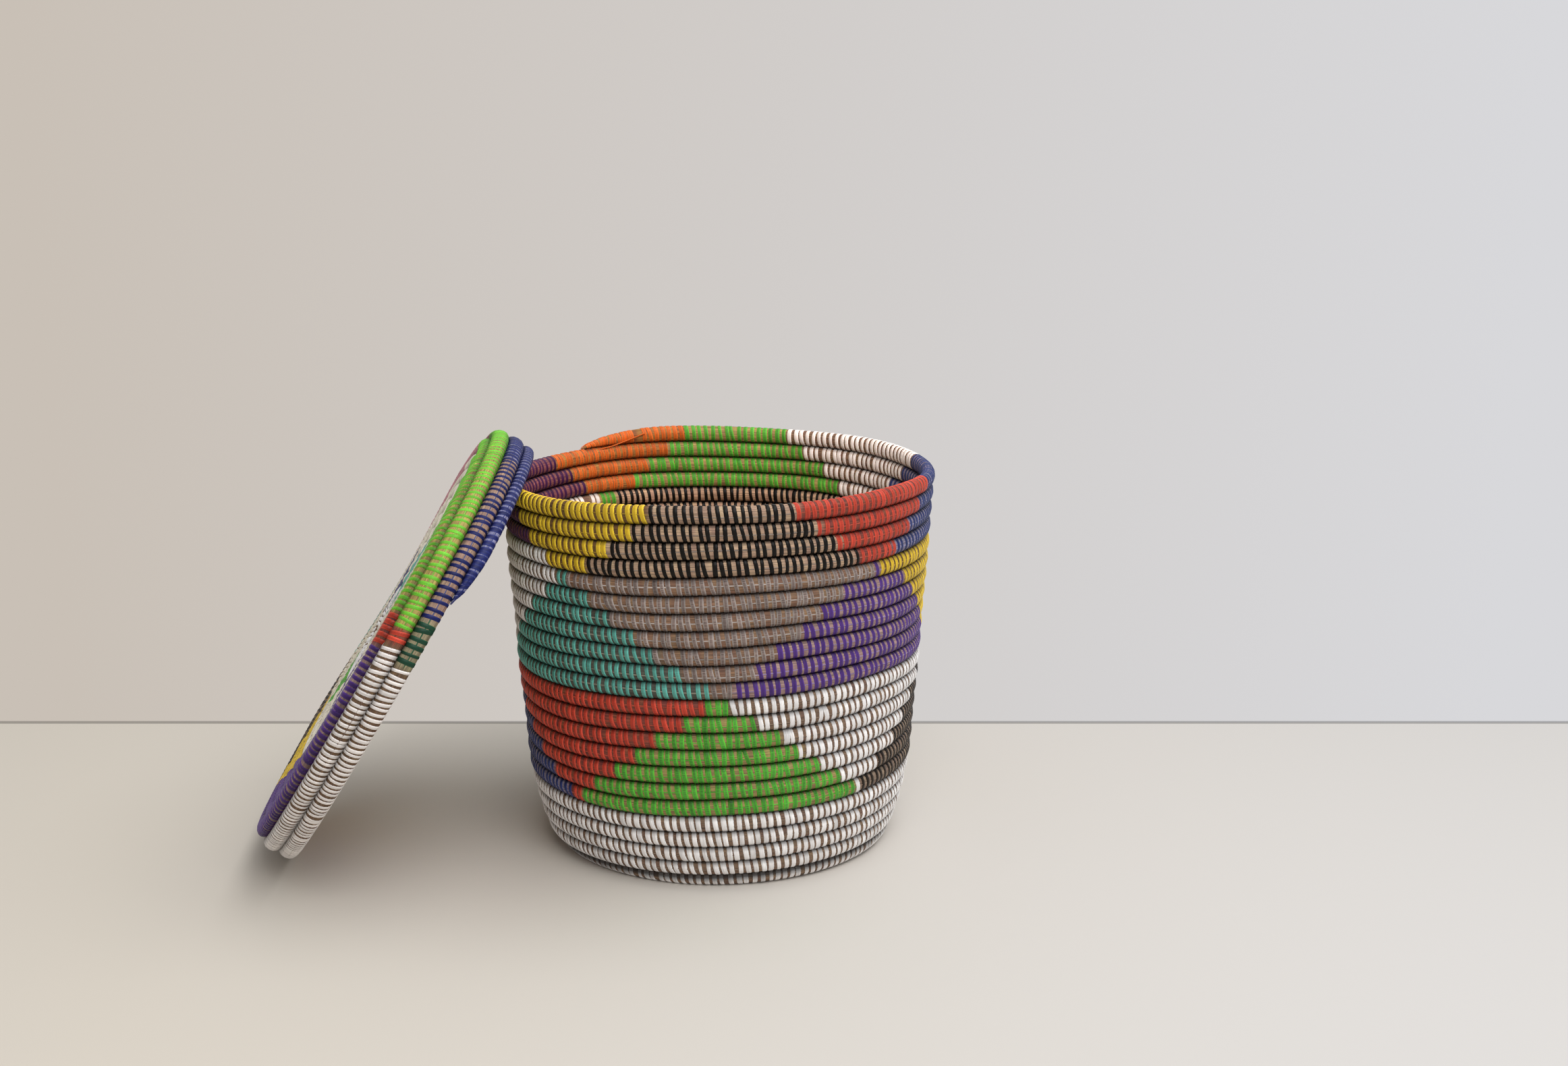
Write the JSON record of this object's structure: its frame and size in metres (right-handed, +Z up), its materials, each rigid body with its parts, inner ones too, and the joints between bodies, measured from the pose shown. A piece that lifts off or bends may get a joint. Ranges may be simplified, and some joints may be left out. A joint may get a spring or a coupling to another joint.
{
  "type": "lidded coiled basket",
  "caption": "Round coiled grass basket with slightly flared wall and rounded foot, sewn with coloured strips, and an overlapping cap lid leaning against its rim.",
  "frame": {"origin": "middle of the basket's underside, on the floor it stands on", "axes": "+Z up along the basket's axis; -Y is the front that the picture shows; the lid leans on the -X side"},
  "size_m": [0.4453, 0.3266, 0.2713],
  "materials": {
    "sewn_coil": "rows of grass bundle sewn over with coloured plastic strip",
    "start_knot": "tightly wrapped grass"
  },
  "bodies": {
    "basket": {"base_start_knot": "start_knot", "base_coil": "sewn_coil", "foot_coil": "sewn_coil", "lower_pattern_coil": "sewn_coil", "upper_pattern_coil": "sewn_coil", "rim_coil": "sewn_coil"},
    "lid": {"lid_start_knot": "start_knot", "lid_disc_coil": "sewn_coil", "lid_rim_coil": "sewn_coil"}
  },
  "joints": [
    {"name": "lid_lift", "type": "slide", "parent": "basket", "child": "lid", "axis": [0, 0, 1], "range_m": [0, 0.3]}
  ]
}
